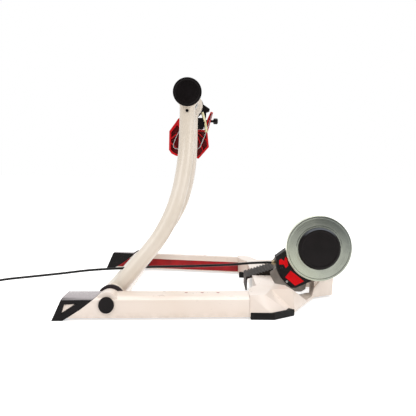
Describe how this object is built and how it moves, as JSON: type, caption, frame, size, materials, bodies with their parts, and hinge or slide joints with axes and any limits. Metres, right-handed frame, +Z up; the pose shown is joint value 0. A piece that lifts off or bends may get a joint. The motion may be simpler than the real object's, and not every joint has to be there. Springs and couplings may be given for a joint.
{
  "type": "magnetic bike trainer",
  "caption": "Folding indoor bike trainer: splayed white base, arch with axle cups and quick lever, roller with flywheel and magnetic brake, cable to a handlebar remote",
  "frame": {"origin": "on the floor, in the middle of the trainer's length and width, cable and remote left out", "axes": "+X to the rear of the bike, +Y to its right side, +Z up"},
  "size_m": [0.7917, 0.588, 0.4312],
  "materials": {
    "white_paint": "glossy off-white powder coat",
    "black_plastic": "satin black",
    "red_plastic": "satin dark red",
    "grey_steel": "grey coat",
    "bright_steel": "turned",
    "zinc_steel": "zinc plated, turned",
    "yellow_zinc": "yellow zinc plated",
    "brass": "turned",
    "rubber": "matt"
  },
  "bodies": {
    "base": {"left_leg": "white_paint", "right_leg": "white_paint", "rear_deck": "white_paint", "left_front_foot": "black_plastic", "right_front_foot": "black_plastic", "left_rear_foot": "rubber", "right_rear_foot": "rubber", "left_pad": "rubber", "right_pad": "rubber", "left_liner": "red_plastic", "right_liner": "red_plastic", "left_hinge_cap": "black_plastic", "right_hinge_cap": "black_plastic", "left_hinge_bolt": "bright_steel", "right_hinge_bolt": "bright_steel", "left_hinge_disc": "black_plastic", "right_hinge_disc": "black_plastic", "cradle_plate": "grey_steel", "rear_tie": "grey_steel", "left_tie_bolt": "bright_steel", "right_tie_bolt": "bright_steel", "left_cheek": "grey_steel", "right_cheek": "grey_steel", "left_bearing": "bright_steel", "right_bearing": "bright_steel", "brake_cover": "black_plastic", "cover_screw": "bright_steel", "upper_plate": "red_plastic", "lower_plate": "red_plastic", "carrier_pin": "bright_steel", "cable_barrel": "brass", "cable": "black_plastic", "cable_coil": "black_plastic", "shifter_body": "black_plastic"},
    "arch": {"cross_tube": "white_paint", "left_upright": "white_paint", "right_upright": "white_paint", "left_clamp_tube": "white_paint", "right_clamp_tube": "white_paint", "left_end_cap": "black_plastic", "right_end_cap": "black_plastic", "lock_screw": "black_plastic", "lever_bracket": "black_plastic", "lever_pin": "black_plastic", "lever_stay": "yellow_zinc"},
    "lever": {"quick_lever": "red_plastic", "lever_bail": "bright_steel"},
    "right_cup_body": {"right_cup": "bright_steel"},
    "left_cup_body": {"left_cup": "bright_steel"},
    "ring_body": {"ring_nut": "black_plastic"},
    "rotor": {"flywheel": "zinc_steel", "hub_cap": "black_plastic", "roller_shaft": "bright_steel", "roller_sleeve": "rubber", "brake_disc": "bright_steel", "shaft_nut": "bright_steel"},
    "carrier": {"magnet_carrier": "grey_steel", "front_magnet": "bright_steel", "back_magnet": "bright_steel"},
    "remote_lever": {"shifter_lever": "red_plastic"}
  },
  "joints": [
    {"name": "arch_fold", "type": "hinge", "parent": "base", "child": "arch", "pos_m": [-0.182, 0, 0.028], "axis": [0, 1, 0], "range_deg": [-10, 45]},
    {"name": "roller_spin", "type": "hinge", "parent": "base", "child": "rotor", "pos_m": [0.2085, 0, 0.107], "axis": [0, 1, 0], "continuous": true},
    {"name": "lever_turn", "type": "hinge", "parent": "arch", "child": "lever", "pos_m": [-0.0585, 0.159, 0.373], "axis": [1, 0, 0], "range_deg": [0, 100]},
    {"name": "right_cup_slide", "type": "slide", "parent": "arch", "child": "right_cup_body", "axis": [0, 1, 0], "range_m": [0, 0.012]},
    {"name": "ring_turn", "type": "hinge", "parent": "left_cup_body", "child": "ring_body", "pos_m": [-0.0585, 0, 0.404], "axis": [0, 1, 0], "range_deg": [0, 721]},
    {"name": "left_cup_slide", "type": "slide", "parent": "arch", "child": "left_cup_body", "axis": [0, 1, 0], "range_m": [0, 0.008]},
    {"name": "shifter_turn", "type": "hinge", "parent": "base", "child": "remote_lever", "pos_m": [-0.50165, -0.1768, 0], "axis": [0, 0, 1], "range_deg": [0, 60]},
    {"name": "carrier_swing", "type": "hinge", "parent": "base", "child": "carrier", "pos_m": [0.1365, 0, 0.06374], "axis": [0, 1, 0], "range_deg": [0, 10.1]}
  ],
  "couplings": [
    {"joint": "right_cup_slide", "follows": "lever_turn", "m_per_rad": 0.006875},
    {"joint": "ring_turn", "follows": "left_cup_slide", "rad_per_m": 1570.8},
    {"joint": "carrier_swing", "follows": "shifter_turn", "ratio": 0.16667}
  ]
}
